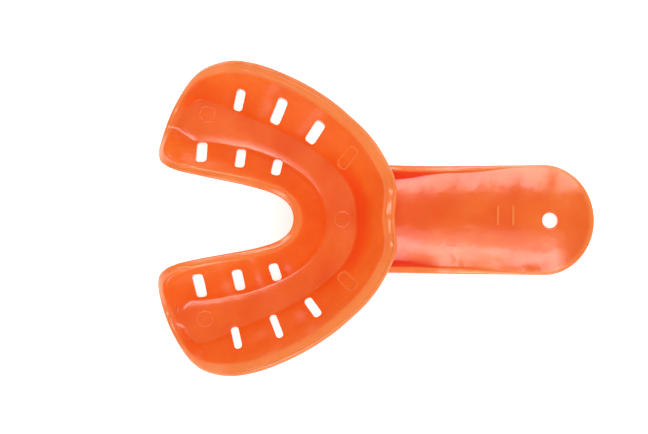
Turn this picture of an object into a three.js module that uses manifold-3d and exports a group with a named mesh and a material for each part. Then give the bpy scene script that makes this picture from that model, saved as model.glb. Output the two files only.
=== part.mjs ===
// Disposable perforated lower-arch impression tray, size large, with a dished handle.
// Millimetres. +X runs towards the free end of the handle, +Y to the side named left,
// +Z out of the trough. The origin is on the rest plane, under the middle of the front floor
// band. The meshes are the features of one moulding, parted at its creases.
import * as THREE from 'three';
import Module from 'manifold-3d';

const wasm = await Module();
wasm.setup();

const { clamp, degToRad, smoothstep } = THREE.MathUtils;
const SIDES = { left: 1, right: -1 }; // sign of Y on each side

// ---------------------------------------------------------------- dimensions of the arch
const FLOOR = 1.6; // floor thickness
const WALL = 1.7; // wall thickness of the flanges
const BEAD = 2.2; // depth of the rolled rim
const CROWN_DROP = 0.12; // fall of the rim's top from its outer edge to its inner edge
const FILLET = 1.1; // plan length of the fillet from the crease onto the floor
const HALF_STEPS = 46; // steps between sections around one half of the arch

// Stations of the left half, from the middle of the lip side round the heel to the middle of
// the tongue side: outline x, y, rim height, crease x, y, rim width.
const STATIONS = [
  [13.64, 0.0, 14.4, 4.01, 0.0, 3.05],
  [13.89, 3.58, 15.3, 3.93, 2.76, 3.05],
  [14.11, 7.15, 16.9, 3.33, 5.91, 3.05],
  [13.5, 10.25, 17.0, 2.65, 7.89, 3.05],
  [12.0, 13.5, 17.0, 1.65, 9.73, 3.05],
  [9.52, 17.87, 17.0, -0.26, 12.36, 3.05],
  [6.36, 21.93, 17.0, -2.7, 14.85, 3.05],
  [2.6, 25.54, 17.0, -5.64, 17.35, 3.05],
  [-1.25, 28.86, 17.0, -9.19, 19.85, 3.05],
  [-7.59, 33.17, 17.0, -14.57, 22.87, 3.05],
  [-14.32, 36.6, 16.9, -20.08, 25.37, 3.05],
  [-21.54, 39.23, 16.6, -25.59, 27.73, 3.05],
  [-27.96, 40.23, 15.6, -30.18, 29.71, 3.05],
  [-32.21, 39.8, 12.7, -33.59, 31.15, 2.79],
  [-35.97, 38.53, 10.2, -36.61, 31.94, 2.41],
  [-38.91, 36.3, 7.8, -38.7, 31.2, 2.03],
  [-41.29, 33.39, 5.4, -39.95, 29.6, 1.65],
  [-43.33, 30.15, 3.6, -40.7, 27.8, 1.35],
  [-44.82, 27.04, 3.0, -41.1, 26.0, 1.25],
  [-45.94, 24.02, 3.1, -41.3, 24.5, 1.25],
  [-46.74, 20.77, 5.2, -41.4, 23.4, 1.45],
  [-46.97, 17.2, 10.3, -41.59, 22.56, 1.7],
  [-46.18, 14.63, 14.3, -41.57, 21.6, 1.91],
  [-44.51, 13.13, 16.5, -40.83, 20.91, 2.16],
  [-42.28, 12.09, 17.3, -39.66, 20.68, 2.21],
  [-39.9, 11.37, 17.5, -37.77, 20.63, 2.21],
  [-37.39, 10.84, 17.4, -35.69, 20.57, 2.21],
  [-34.94, 10.33, 17.1, -33.31, 20.32, 2.21],
  [-32.49, 9.87, 16.7, -30.81, 19.97, 2.21],
  [-30.02, 9.41, 16.2, -28.2, 19.42, 2.21],
  [-27.55, 8.94, 15.6, -25.45, 18.97, 2.21],
  [-25.13, 8.46, 14.9, -22.71, 18.17, 2.21],
  [-22.68, 7.92, 14.1, -19.72, 17.16, 2.21],
  [-20.22, 7.28, 13.2, -16.6, 15.89, 2.21],
  [-17.81, 6.49, 12.3, -13.36, 14.23, 2.21],
  [-15.54, 5.39, 11.5, -10.12, 12.07, 2.21],
  [-14.03, 4.21, 11.1, -7.72, 9.87, 2.21],
  [-13, 2.84, 10.9, -5.65, 7.1, 2.21],
  [-12.46, 1.45, 10.8, -4.36, 3.66, 2.21],
  [-12.28, 0.0, 10.8, -3.94, 0.0, 2.21],
];

// Outline points where the arch is parted into stretches, and how far round the half
// (as a fraction of its steps) the nearest section is looked for.
const PARTINGS = {
  front: { x: 3.4, y: 24.8, searchTo: 0.6 },
  heelOuter: { x: -39.4, y: 35.9, searchTo: 0.7 },
  heelInner: { x: -45.5, y: 13.8, searchTo: 1 },
};

// Slots through the flanges: centre x, y (mirrored on the right leg), length, width, and lean
// in degrees of the outboard end from the Y axis towards +X. The legs differ slightly.
const SLOTS_OUTER = {
  left: [
    [-26.41, 31.2, 5.0, 2.35, 17.2],
    [-16.13, 28.06, 6.15, 2.7, 27.3],
    [-6.73, 22.65, 5.6, 2.9, 38.1],
  ],
  right: [
    [-27.08, 30.5, 5.7, 2.05, 15.8],
    [-16.72, 27.56, 6.3, 1.9, 22.7],
    [-7.27, 22.67, 5.55, 2.25, 35.9],
  ],
};
const SLOTS_INNER = {
  left: [
    [-36.11, 17.48, 6.05, 2.7, -2.5],
    [-26.11, 15.99, 5.5, 2.5, 3.3],
    [-16.71, 13.78, 4.55, 2.4, 10.6],
  ],
  right: [
    [-36.44, 17.14, 5.6, 2.75, 7.5],
    [-26.49, 15.63, 5.1, 2.7, 9.7],
    [-17.09, 13.52, 4.3, 2.5, 17.3],
  ],
};
const SLOT_CORNER = 0.85; // corner radius of a slot
const POCKET = [1.6, 15.85, 5.0, 2.3, 43.0]; // blind pocket on each side, columns as the slots
const POCKET_DEPTH = 0.6; // measured straight down
const CUTTER_BOTTOM = -2;
const CUTTER_TOP = 24; // clear of the highest rim

// Round ejector marks on the floor: centre x, y
const EJECTORS = { left: [-34.95, 27.95], right: [-35.4, -25.6], front: [0.4, 0.35] };
const EJECTOR_RADIUS = 2.2;
const EJECTOR_LINE = 0.35;
const EJECTOR_HEIGHT = 0.15;

// ---------------------------------------------------------------- dimensions of the handle
const HANDLE_ROOT_X = 16;
const HANDLE_FULL_X = 50; // full width from here on
const HANDLE_END_X = 52.6; // where the rounded end starts
const HANDLE_NOSE = 13.1; // length of the rounded end
const HANDLE_HALF_ROOT = 13.85; // half width at the neck
const HANDLE_HALF_END = 14.3;
const HANDLE_STEPS = 12; // along a straight side, and again round half of the end

const DISH_Z = 2.6; // top of the dish on the centre line
const DISH_RISE = 2.2;
const DISH_EDGE_Z = DISH_Z + DISH_RISE;
const DISH_THICKNESS = 1.8;
const DISH_STEPS = 4;

const RAIL_CREST = 1.45; // width of the rail's crest
const RAIL_FOOT = RAIL_CREST + 0.1; // width of the rail where it meets the dish
const RAIL_FOOT_NECK = 3.1; // the same, by the neck
const RAIL_END_DROP = 0.25; // fall of the rail's top at the tip of the handle
const DISH_END_DROP = 0.1; // fall of the dish's edge at the tip

const HOLE_X = 54.5;
const HOLE_RADIUS = 2.0;
const HOLE_CUT_LENGTH = 20;

// Size mark: two raised bars lying along Y
const MARK_XS = [40.9, 44.9];
const MARK_Y = 1.3;
const MARK_LENGTH = 5.4;
const MARK_WIDTH = 0.7;
const MARK_HEIGHT = 0.3;
const MARK_LIFT = 0.05; // underside of a bar above the dish
const MARK_STEPS = 4;

const NECK_XS = [1.5, 6, 8.5, 11, 13.5, HANDLE_ROOT_X];
const NECK_GAP = 0.07; // clearance between the neck and the front wall
const NECK_TOOL_REACH = 14; // sections each side of the middle that trim the neck
const NECK_TOOL_BOTTOM = -1.5;
const NECK_TOOL_DEPTH = 3.2; // how far the trimming tool runs inwards past the fillet

// ---------------------------------------------------------------- colours and finish
const COLORS = {
  rim: 0xf58743,
  heelRim: 0xf4813e,
  flange: 0xf05a26,
  heelFlange: 0xf05f29,
  floor: 0xf06029,
  ejector: 0xf26a33,
  rail: 0xf4803c,
  endRim: 0xf2702f,
  dish: 0xf3692f,
  mark: 0xf4733a,
  neck: 0xf2652c,
};
const FINISH = { roughness: 0.22, metalness: 0 };

const group = new THREE.Group();

function add(name, geometry, color) {
  geometry.computeVertexNormals();
  const mesh = new THREE.Mesh(geometry, new THREE.MeshStandardMaterial({ color, ...FINISH }));
  mesh.name = name;
  group.add(mesh);
}

// ---------------------------------------------------------------- surfaces and solids
const lerp = (a, b, t) => a + (b - a) * t;

// A triangle mesh with shared points; flipped turns every face over.
class Surface {
  constructor(flipped = false) {
    this.flipped = flipped;
    this.positions = [];
    this.indices = [];
    this.known = new Map();
  }

  point(p) {
    const key = p.map((value) => Math.round(value * 1e4)).join(',');
    if (!this.known.has(key)) {
      this.known.set(key, this.positions.length / 3);
      this.positions.push(...p);
    }
    return this.known.get(key);
  }

  tri(a, b, c) {
    const [i, j, k] = (this.flipped ? [a, c, b] : [a, b, c]).map((p) => this.point(p));
    if (i !== j && j !== k && i !== k) this.indices.push(i, j, k);
  }

  quad(a, b, c, d) {
    this.tri(a, b, c);
    this.tri(a, c, d);
  }

  // Closes a loop of points, triangulated in its own plane; it faces back if reversed.
  cap(flat, points, reversed) {
    for (const [a, b, c] of triangulate(flat)) {
      if (reversed) this.tri(points[a], points[c], points[b]);
      else this.tri(points[a], points[b], points[c]);
    }
  }

  geometry() {
    return indexedGeometry(this.positions, this.indices);
  }
}

function indexedGeometry(positions, indices) {
  const geometry = new THREE.BufferGeometry();
  geometry.setAttribute('position', new THREE.Float32BufferAttribute(positions, 3));
  geometry.setIndex(indices);
  return geometry;
}

// Counter-clockwise triangles filling a flat loop, as triples of indices
function triangulate(flat) {
  const loop = flat.map(([x, y]) => new THREE.Vector2(x, y));
  return THREE.ShapeUtils.triangulateShape(loop, []).map(([a, b, c]) => {
    const [p, q, r] = [loop[a], loop[b], loop[c]];
    const area = (q.x - p.x) * (r.y - p.y) - (r.x - p.x) * (q.y - p.y);
    return area < 0 ? [a, c, b] : [a, b, c];
  });
}

function toManifold(geometry) {
  const source = geometry.attributes.position.array;
  const count = source.length / 3;
  const indices = geometry.index ? geometry.index.array : Array.from({ length: count }, (_, i) => i);
  const known = new Map();
  const vertices = [];
  const triangles = [];
  for (let t = 0; t < indices.length; t += 3) {
    const corners = [0, 1, 2].map((corner) => {
      const start = indices[t + corner] * 3;
      const p = [source[start], source[start + 1], source[start + 2]];
      const key = p.map((value) => Math.round(value * 1e5)).join(',');
      if (!known.has(key)) {
        known.set(key, vertices.length / 3);
        vertices.push(...p);
      }
      return known.get(key);
    });
    if (new Set(corners).size === 3) triangles.push(...corners);
  }
  return new wasm.Manifold(new wasm.Mesh({
    numProp: 3,
    vertProperties: new Float32Array(vertices),
    triVerts: new Uint32Array(triangles),
  }));
}

function fromManifold(solid) {
  const { numProp, vertProperties, triVerts } = solid.getMesh();
  const positions = [];
  for (let i = 0; i < vertProperties.length; i += numProp) {
    positions.push(...vertProperties.slice(i, i + 3));
  }
  return indexedGeometry(positions, Array.from(triVerts));
}

function cut(geometry, cutters) {
  const solid = cutters.reduce((rest, cutter) => rest.subtract(cutter), toManifold(geometry));
  return fromManifold(solid);
}

// ---------------------------------------------------------------- sections and lofts
// Points of a quadratic round over a corner, starting a length before it and ending after it
function roundCorner(from, corner, to, before, after, steps) {
  const towards = (end, length) => {
    const t = Math.min(length / Math.hypot(end[0] - corner[0], end[1] - corner[1]), 0.98);
    return [lerp(corner[0], end[0], t), lerp(corner[1], end[1], t)];
  };
  const start = towards(from, before);
  const finish = towards(to, after);
  return Array.from({ length: steps + 1 }, (_, i) => {
    const s = i / steps;
    const u = 1 - s;
    return corner.map((c, axis) => u * u * start[axis] + 2 * s * u * c + s * s * finish[axis]);
  });
}

// A section is drawn flat, as [distance inwards from the outline, z], and stood upright on the
// line from outer to inner. Top and under both start at the outermost edge; each has an edge
// part, ending at its crease, and then a web part.
function makeSection(outer, inner, { edgeTop, webTop, edgeUnder, webUnder }) {
  const length = Math.hypot(inner[0] - outer[0], inner[1] - outer[1]);
  const dx = (inner[0] - outer[0]) / length;
  const dy = (inner[1] - outer[1]) / length;
  const place = ([w, z]) => [outer[0] + dx * w, outer[1] + dy * w, z];
  const topFlat = [...edgeTop, ...webTop];
  const underFlat = [...edgeUnder, ...webUnder];
  return {
    topFlat,
    underFlat,
    top: topFlat.map(place),
    under: underFlat.map(place),
    topCrease: edgeTop.length - 1,
    underCrease: edgeUnder.length - 1,
    place,
  };
}

// Ranges of point indices, the same for every section of a run
const edgeSpan = (section) => ({
  top: [0, section.topCrease],
  under: [0, section.underCrease],
});
const webSpan = (section) => ({
  top: [section.topCrease, section.top.length - 1],
  under: [section.underCrease, section.under.length - 1],
});

function addSkins(surface, near, far, span) {
  const [t0, t1] = span.top;
  const [u0, u1] = span.under;
  for (let k = t0; k < t1; k++) {
    surface.quad(near.top[k], far.top[k], far.top[k + 1], near.top[k + 1]);
  }
  for (let k = u0; k < u1; k++) {
    surface.quad(near.under[k], near.under[k + 1], far.under[k + 1], far.under[k]);
  }
}

// The side of a span that faces the outline
function addOuterSide(surface, near, far, t, u) {
  surface.quad(near.top[t], near.under[u], far.under[u], far.top[t]);
}

// The closed solid of one span between two sections; a negative index counts from the end.
function loft(sections, first, last, span, flipped = false) {
  const surface = new Surface(flipped);
  const [t0, t1] = span.top;
  const [u0, u1] = span.under;
  const startsAtEdge = t0 === 0;
  for (let j = first; j < last; j++) {
    const near = sections.at(j);
    const far = sections.at(j + 1);
    addSkins(surface, near, far, span);
    surface.quad(near.top[t1], far.top[t1], far.under[u1], near.under[u1]);
    if (!startsAtEdge) addOuterSide(surface, near, far, t0, u0);
  }
  // Top and under share the outermost point, so it is taken once.
  const underStart = startsAtEdge ? 1 : u0;
  const loop = (top, under) => [
    ...top.slice(t0, t1 + 1),
    ...under.slice(underStart, u1 + 1).reverse(),
  ];
  for (const j of [first, last]) {
    const { topFlat, underFlat, top, under } = sections.at(j);
    surface.cap(loop(topFlat, underFlat), loop(top, under), j === first);
  }
  return surface.geometry();
}

// The closed solid through a row of loops, each with its points and their flat drawing
function loftLoops(loops) {
  const surface = new Surface();
  for (let j = 0; j + 1 < loops.length; j++) {
    const near = loops[j].points;
    const far = loops[j + 1].points;
    for (let k = 0; k < near.length; k++) {
      const next = (k + 1) % near.length;
      surface.quad(near[k], near[next], far[next], far[k]);
    }
  }
  surface.cap(loops[0].flat, loops[0].points, true);
  surface.cap(loops.at(-1).flat, loops.at(-1).points, false);
  return surface.geometry();
}

// ---------------------------------------------------------------- sections of the arch
const mirrorStation = ([x, y, height, creaseX, creaseY, width]) =>
  [x, -y, height, creaseX, -creaseY, width];

// Stations spread evenly along a smooth cubic curve through the table
function sampleHalf(steps) {
  const last = STATIONS.length - 1;
  const padded = [mirrorStation(STATIONS[1]), ...STATIONS, mirrorStation(STATIONS[last - 1])];
  // Spacing is weighed between the outline and the crease.
  const gaps = padded.slice(1).map((b, i) => {
    const a = padded[i];
    return 0.55 * Math.hypot(b[0] - a[0], b[1] - a[1]) + 0.45 * Math.hypot(b[3] - a[3], b[4] - a[4]);
  });
  const slopesAt = (i) => padded[i].map((value, column) => {
    const before = (value - padded[i - 1][column]) / gaps[i - 1];
    const after = (padded[i + 1][column] - value) / gaps[i];
    return (after * gaps[i - 1] + before * gaps[i]) / (gaps[i - 1] + gaps[i]);
  });
  const along = [0];
  for (let i = 1; i <= last; i++) along.push(along[i - 1] + gaps[i]);

  const samples = [];
  for (let step = 0; step <= steps; step++) {
    const distance = along[last] * step / steps;
    let i = 0;
    while (i < last - 1 && distance > along[i + 1]) i++;
    const length = along[i + 1] - along[i];
    const u = (distance - along[i]) / length;
    const end = STATIONS[i + 1];
    const startSlopes = slopesAt(i + 1);
    const endSlopes = slopesAt(i + 2);
    samples.push(STATIONS[i].map((value, column) =>
      (2 * u ** 3 - 3 * u * u + 1) * value
      + (u ** 3 - 2 * u * u + u) * length * startSlopes[column]
      + (-2 * u ** 3 + 3 * u * u) * end[column]
      + (u ** 3 - u * u) * length * endSlopes[column]));
  }
  // Both ends lie exactly on the centre line.
  for (const sample of [samples[0], samples[steps]]) {
    sample[1] = 0;
    sample[4] = 0;
  }
  return samples;
}

// Top runs over the rim and down the trough face to the floor; under runs beneath the rim and
// down the outer face to the floor's underside.
function archSection([outX, outY, height, creaseX, creaseY, rimWidth]) {
  const reach = Math.hypot(creaseX - outX, creaseY - outY);
  const end = reach + FILLET;
  const lip = Math.min(rimWidth, 0.5 * reach);
  const bead = Math.min(BEAD, 0.62 * (height - 0.2));
  const beadZ = height - bead;
  const edge = [0, height - bead / 2];

  // Trough face: from the rim's inner edge over a knee to the crease
  const crown = [lip, height - CROWN_DROP];
  const crease = [reach, FLOOR];
  const run = crease[0] - crown[0];
  const rise = crown[1] - crease[1];
  const knee = [crease[0] - 0.55 * run, crease[1] + 0.43 * rise];
  const faceLength = Math.hypot(run, rise);
  const edgeRound = Math.min(0.44 * bead, 0.4 * lip);
  const crownRound = Math.min(0.3 * lip, 0.25 * faceLength);
  const creaseRound = Math.min(1.4, 0.4 * faceLength);

  // Outer face: the trough face set out by the wall thickness
  const upperSlope = Math.atan2(crown[1] - knee[1], knee[0] - crown[0]);
  const lowerSlope = Math.atan2(knee[1] - crease[1], crease[0] - knee[0]);
  const kneeSlope = (upperSlope + lowerSlope) / 2;
  const faceAtBead = crown[0]
    + (bead - CROWN_DROP) * (knee[0] - crown[0]) / (crown[1] - knee[1]);
  const rootW = clamp(faceAtBead - WALL / Math.sin(upperSlope), 0.12 * lip, 0.75 * lip);
  const rimRoot = [rootW, beadZ];
  const foot = [Math.max(crease[0] - WALL * Math.tan(lowerSlope / 2), rimRoot[0] + 0.3), 0];
  // Where the rim is low the knee goes over to the middle of the short wall.
  const tall = smoothstep(height, 3.0, 6.5);
  const outerKnee = [
    lerp(lerp(rimRoot[0], foot[0], 0.5), knee[0] - WALL * Math.sin(kneeSlope), tall),
    lerp(rimRoot[1] * 0.5, knee[1] - WALL * Math.cos(kneeSlope), tall),
  ];
  const lowerLength = Math.hypot(outerKnee[0] - foot[0], outerKnee[1] - foot[1]);
  const footRound = Math.min(1.5, 0.4 * lowerLength, 0.8 * (end - foot[0]));
  const beadRound = Math.min(edgeRound, 0.8 * rimRoot[0]);

  return makeSection([outX, outY], [creaseX, creaseY], {
    edgeTop: [
      edge,
      ...roundCorner([0, beadZ], [0, height], [lip, height], edgeRound, edgeRound, 2),
      ...roundCorner([0, height], crown, knee, crownRound, crownRound, 2),
    ],
    webTop: [
      knee,
      ...roundCorner(knee, crease, [end, FLOOR], creaseRound, FILLET, 3).slice(0, -1),
      [end, FLOOR],
    ],
    edgeUnder: [
      edge,
      ...roundCorner([0, height], [0, beadZ], [lip, beadZ], beadRound, beadRound, 2),
      rimRoot,
    ],
    webUnder: [
      outerKnee,
      ...roundCorner(outerKnee, foot, [end, 0], footRound, footRound, 2),
      [end, 0],
    ],
  });
}

const leftHalf = sampleHalf(HALF_STEPS);
const rightHalf = leftHalf.slice(1, -1).reverse().map(mirrorStation);
const arch = [...leftHalf, ...rightHalf].map(archSection);

// ---------------------------------------------------------------- cutters
// Upright round-cornered prism for one slot or pocket row
function slotCutter([x, y, length, width, lean], side) {
  const a = width / 2;
  const b = length / 2;
  const r = SLOT_CORNER;
  const shape = new THREE.Shape();
  shape.moveTo(-a + r, -b);
  shape.lineTo(a - r, -b);
  shape.absarc(a - r, -b + r, r, -Math.PI / 2, 0, false);
  shape.lineTo(a, b - r);
  shape.absarc(a - r, b - r, r, 0, Math.PI / 2, false);
  shape.lineTo(-a + r, b);
  shape.absarc(-a + r, b - r, r, Math.PI / 2, Math.PI, false);
  shape.lineTo(-a, -b + r);
  shape.absarc(-a + r, -b + r, r, Math.PI, 1.5 * Math.PI, false);
  const depth = CUTTER_TOP - CUTTER_BOTTOM;
  const options = { depth, bevelEnabled: false, curveSegments: 4 };
  const geometry = new THREE.ExtrudeGeometry(shape, options);
  geometry.rotateZ(-degToRad(lean) * side);
  geometry.translate(x, y * side, CUTTER_BOTTOM);
  return toManifold(geometry);
}

const slotCutters = (slots, side) => slots[side].map((slot) => slotCutter(slot, SIDES[side]));

// The part of a pocket prism above the flange once that is lowered by the pocket depth
function pocketCutter(side, flange) {
  const lowered = toManifold(flange.clone().translate(0, 0, -POCKET_DEPTH));
  const lumps = slotCutter(POCKET, side).subtract(lowered).decompose();
  return lumps.sort((p, q) => q.boundingBox().max[2] - p.boundingBox().max[2])[0];
}

// ---------------------------------------------------------------- rims and flanges
function nearestSection({ x, y, searchTo }) {
  let best = 0;
  let least = Infinity;
  for (let j = 0; j <= HALF_STEPS * searchTo; j++) {
    const [edgeX, edgeY] = arch[j].top[0];
    const distance = Math.hypot(edgeX - x, edgeY - y);
    if (distance < least) {
      least = distance;
      best = j;
    }
  }
  return best;
}

function addRimsAndFlanges() {
  const count = arch.length;
  const front = nearestSection(PARTINGS.front);
  const heelOuter = nearestSection(PARTINGS.heelOuter);
  const heelInner = nearestSection(PARTINGS.heelInner);
  const rimSpan = edgeSpan(arch[0]);
  const flangeSpan = webSpan(arch[0]);
  const labialFlange = loft(arch, -front, front, flangeSpan);

  // Region, name ending, first section, last section, cutters of the flange
  const stretches = [
    ['labial', '', -front, front, [1, -1].map((side) => pocketCutter(side, labialFlange))],
    ['buccal', '_left', front, heelOuter, slotCutters(SLOTS_OUTER, 'left')],
    ['buccal', '_right', count - heelOuter, count - front, slotCutters(SLOTS_OUTER, 'right')],
    ['lingual', '', heelInner, count - heelInner,
      [...slotCutters(SLOTS_INNER, 'left'), ...slotCutters(SLOTS_INNER, 'right')]],
    ['heel', '_left', heelOuter, heelInner, []],
    ['heel', '_right', count - heelInner, count - heelOuter, []],
  ];
  for (const [region, ending, first, last] of stretches) {
    const color = region === 'heel' ? COLORS.heelRim : COLORS.rim;
    add(`${region}_rim${ending}`, loft(arch, first, last, rimSpan), color);
  }
  for (const [region, ending, first, last, cutters] of stretches) {
    const color = region === 'heel' ? COLORS.heelFlange : COLORS.flange;
    const flange = loft(arch, first, last, flangeSpan);
    add(`${region}_flange${ending}`, cutters.length ? cut(flange, cutters) : flange, color);
  }
}

// ---------------------------------------------------------------- floor
function archFloor() {
  const surface = new Surface();
  const top = arch.map((section) => section.top.at(-1));
  const under = arch.map((section) => section.under.at(-1));
  surface.cap(top, top, false);
  surface.cap(top, under, true);
  const t = arch[0].top.length - 1;
  const u = arch[0].under.length - 1;
  arch.forEach((section, j) => addOuterSide(surface, arch.at(j - 1), section, t, u));
  return surface.geometry();
}

function ejectorMark([x, y]) {
  const ring = new THREE.Shape();
  ring.absarc(0, 0, EJECTOR_RADIUS, 0, Math.PI * 2, false);
  const hole = new THREE.Path();
  hole.absarc(0, 0, EJECTOR_RADIUS - EJECTOR_LINE, 0, Math.PI * 2, true);
  ring.holes.push(hole);
  const options = { depth: EJECTOR_HEIGHT, bevelEnabled: false, curveSegments: 12 };
  const geometry = new THREE.ExtrudeGeometry(ring, options);
  geometry.translate(x, y, FLOOR);
  return fromManifold(toManifold(geometry));
}

// ---------------------------------------------------------------- sections of the handle
// The rail falls from the neck to the end in two overlapping slopes.
function railTop(x) {
  const longSlope = 1.1 * (1 - smoothstep(x, 27, 48));
  const neckSlope = 4.4 * (1 - smoothstep(x, 9, 29)) ** 1.2;
  return 4.9 + longSlope + neckSlope;
}

function halfWidth(x) {
  const t = clamp((x - HANDLE_ROOT_X) / (HANDLE_FULL_X - HANDLE_ROOT_X), 0, 1);
  return lerp(HANDLE_HALF_ROOT, HANDLE_HALF_END, t);
}

// From the outline to the centre line; tip goes from 0 on the straight to 1 at the far end.
function handleSection(outer, centre, tip) {
  const x = outer[0];
  const reach = Math.hypot(outer[0] - centre[0], outer[1] - centre[1]);
  const railZ = railTop(x) - RAIL_END_DROP * tip;
  const dishZ = DISH_EDGE_Z - DISH_END_DROP * tip;
  const underZ = DISH_EDGE_Z - DISH_THICKNESS;
  const foot = lerp(RAIL_FOOT_NECK, RAIL_FOOT, smoothstep(x, 13, 28));
  const edge = [0, (railZ + underZ) / 2];
  const crest = [RAIL_CREST, railZ];
  const crestInner = [RAIL_CREST, railZ - 0.04];
  const footRound = Math.min(0.3, 0.4 * (railZ - dishZ));
  const webTop = Array.from({ length: DISH_STEPS }, (_, i) => {
    const t = (i + 1) / DISH_STEPS;
    return [lerp(foot, reach, t), DISH_Z + (dishZ - DISH_Z) * (1 - t) ** 2];
  });
  return makeSection(outer, centre, {
    edgeTop: [
      edge,
      ...roundCorner([0, underZ], [0, railZ], crest, 0.5, 0.5, 2),
      ...roundCorner([0, railZ], crestInner, [foot, dishZ - 0.01], 0.3, footRound, 2),
      [foot, dishZ],
    ],
    webTop,
    edgeUnder: [
      edge,
      ...roundCorner([0, railZ], [0, underZ], [foot, underZ], 0.7, 0.7, 2),
      [foot, dishZ - DISH_THICKNESS],
    ],
    webUnder: webTop.map(([w, z]) => [w, z - DISH_THICKNESS]),
  });
}

// Sections from the left root round the end to the right root
function handleSections() {
  const left = []; // outer x, y, centre x, tip
  for (let i = 0; i <= HANDLE_STEPS; i++) {
    const x = lerp(HANDLE_ROOT_X, HANDLE_END_X, i / HANDLE_STEPS);
    left.push([x, halfWidth(x), x, 0]);
  }
  for (let i = 1; i <= HANDLE_STEPS; i++) {
    const t = i / HANDLE_STEPS;
    const angle = Math.PI / 2 * (1 - t);
    const x = HANDLE_END_X + HANDLE_NOSE * Math.cos(angle);
    left.push([x, HANDLE_HALF_END * Math.sin(angle), HANDLE_END_X, smoothstep(t, 0, 1)]);
  }
  const right = left.slice(0, -1).reverse().map(([x, y, centreX, tip]) => [x, -y, centreX, tip]);
  return [...left, ...right].map(([x, y, centreX, tip]) =>
    handleSection([x, y], [centreX, 0], tip));
}

// ---------------------------------------------------------------- handle
const handle = handleSections();

function addHandleRails() {
  const last = handle.length - 1;
  // The handle's sections run the other way round from the arch's, so the faces are flipped.
  const rail = (from, to) => loft(handle, from, to, edgeSpan(handle[0]), true);
  add('handle_rail_left', rail(0, HANDLE_STEPS), COLORS.rail);
  add('handle_end_rim', rail(HANDLE_STEPS, last - HANDLE_STEPS), COLORS.endRim);
  add('handle_rail_right', rail(last - HANDLE_STEPS, last), COLORS.rail);
}

function handleDish() {
  const surface = new Surface(true);
  const span = webSpan(handle[0]);
  const [t0] = span.top;
  const [u0] = span.under;
  for (let j = 0; j + 1 < handle.length; j++) {
    addSkins(surface, handle[j], handle[j + 1], span);
    addOuterSide(surface, handle[j], handle[j + 1], t0, u0);
  }
  // Root end, both halves
  for (let k = 0; k < DISH_STEPS; k++) {
    const strip = ({ top, under }) =>
      [top[t0 + k], top[t0 + k + 1], under[u0 + k + 1], under[u0 + k]];
    surface.quad(...strip(handle[0]));
    const [a, b, c, d] = strip(handle.at(-1));
    surface.quad(a, d, c, b);
  }
  const bore = new THREE.CylinderGeometry(HOLE_RADIUS, HOLE_RADIUS, HOLE_CUT_LENGTH, 40);
  bore.rotateX(Math.PI / 2);
  bore.translate(HOLE_X, 0, 0);
  return cut(surface.geometry(), [toManifold(bore)]);
}

// One bar of the size mark, following the curve of the dish
function sizeMarkBar(x) {
  const surface = new Surface();
  const x0 = x - MARK_WIDTH / 2;
  const x1 = x + MARK_WIDTH / 2;
  const rings = Array.from({ length: MARK_STEPS + 1 }, (_, k) => {
    const y = MARK_Y - MARK_LENGTH / 2 + MARK_LENGTH * k / MARK_STEPS;
    const low = DISH_Z + DISH_RISE * (y / (HANDLE_HALF_END - RAIL_FOOT)) ** 2 + MARK_LIFT;
    const high = low + MARK_HEIGHT;
    return [[x0, y, low], [x1, y, low], [x1, y, high], [x0, y, high]];
  });
  for (let k = 0; k < MARK_STEPS; k++) {
    const near = rings[k];
    const far = rings[k + 1];
    surface.quad(near[3], near[2], far[2], far[3]);
    surface.quad(near[0], far[0], far[1], near[1]);
    surface.quad(near[1], far[1], far[2], near[2]);
    surface.quad(near[0], near[3], far[3], far[0]);
  }
  const [a, b, c, d] = rings.at(-1);
  surface.quad(...rings[0]);
  surface.quad(a, d, c, b);
  return surface.geometry();
}

// ---------------------------------------------------------------- neck
// Full-width loop of the handle's channel at x
function neckLoop(x) {
  const { top, under } = handleSection([x, halfWidth(x)], [x, 0], 0);
  const mirror = ([px, py, pz]) => [px, -py, pz];
  const points = [
    ...top,
    ...top.slice(0, -1).reverse().map(mirror),
    ...under.slice(1, -1).map(mirror),
    ...under.slice(1).reverse(),
  ];
  return { points, flat: points.map(([, y, z]) => [y, z]) };
}

// Loop around everything on the trough side of the front wall's outer surface
function neckToolLoop({ underFlat, place }) {
  const end = underFlat.at(-1)[0];
  const inner = end + NECK_TOOL_DEPTH;
  const flat = [
    [underFlat[0][0] - NECK_GAP, CUTTER_TOP],
    ...underFlat.slice(1, -1).map(([w, z]) => [w - NECK_GAP, z]),
    underFlat.at(-1),
    [end, NECK_TOOL_BOTTOM],
    [inner, NECK_TOOL_BOTTOM],
    [inner, CUTTER_TOP],
  ];
  return { flat, points: flat.map(place) };
}

// The channel carried back under the rim until it meets the front wall
function handleNeck() {
  const channel = toManifold(loftLoops(NECK_XS.map(neckLoop)));
  const toolLoops = [];
  for (let j = -NECK_TOOL_REACH; j <= NECK_TOOL_REACH; j++) {
    toolLoops.push(neckToolLoop(arch.at(j)));
  }
  const lumps = channel.subtract(toManifold(loftLoops(toolLoops))).decompose();
  return fromManifold(lumps.sort((p, q) => q.volume() - p.volume())[0]);
}

// ---------------------------------------------------------------- assembly
addRimsAndFlanges();
add('arch_floor', archFloor(), COLORS.floor);
for (const [place, centre] of Object.entries(EJECTORS)) {
  add(`ejector_mark_${place}`, ejectorMark(centre), COLORS.ejector);
}
addHandleRails();
add('handle_dish', handleDish(), COLORS.dish);
MARK_XS.forEach((x, i) => add(`size_mark_bar_${i + 1}`, sizeMarkBar(x), COLORS.mark));
add('handle_neck', handleNeck(), COLORS.neck);

export default group;
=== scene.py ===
# An orange plastic dental tray: a U-shaped trough (the arch) and a flat, dished handle.
# It lies flat with +z up. The closed front of the arch and the handle point to +x, the two heels
# to -x, with one leg on each side of y = 0. Shapes are in mm until they become Blender objects;
# the stage, the lights and the camera are in metres.
import math
from functools import partial

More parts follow.
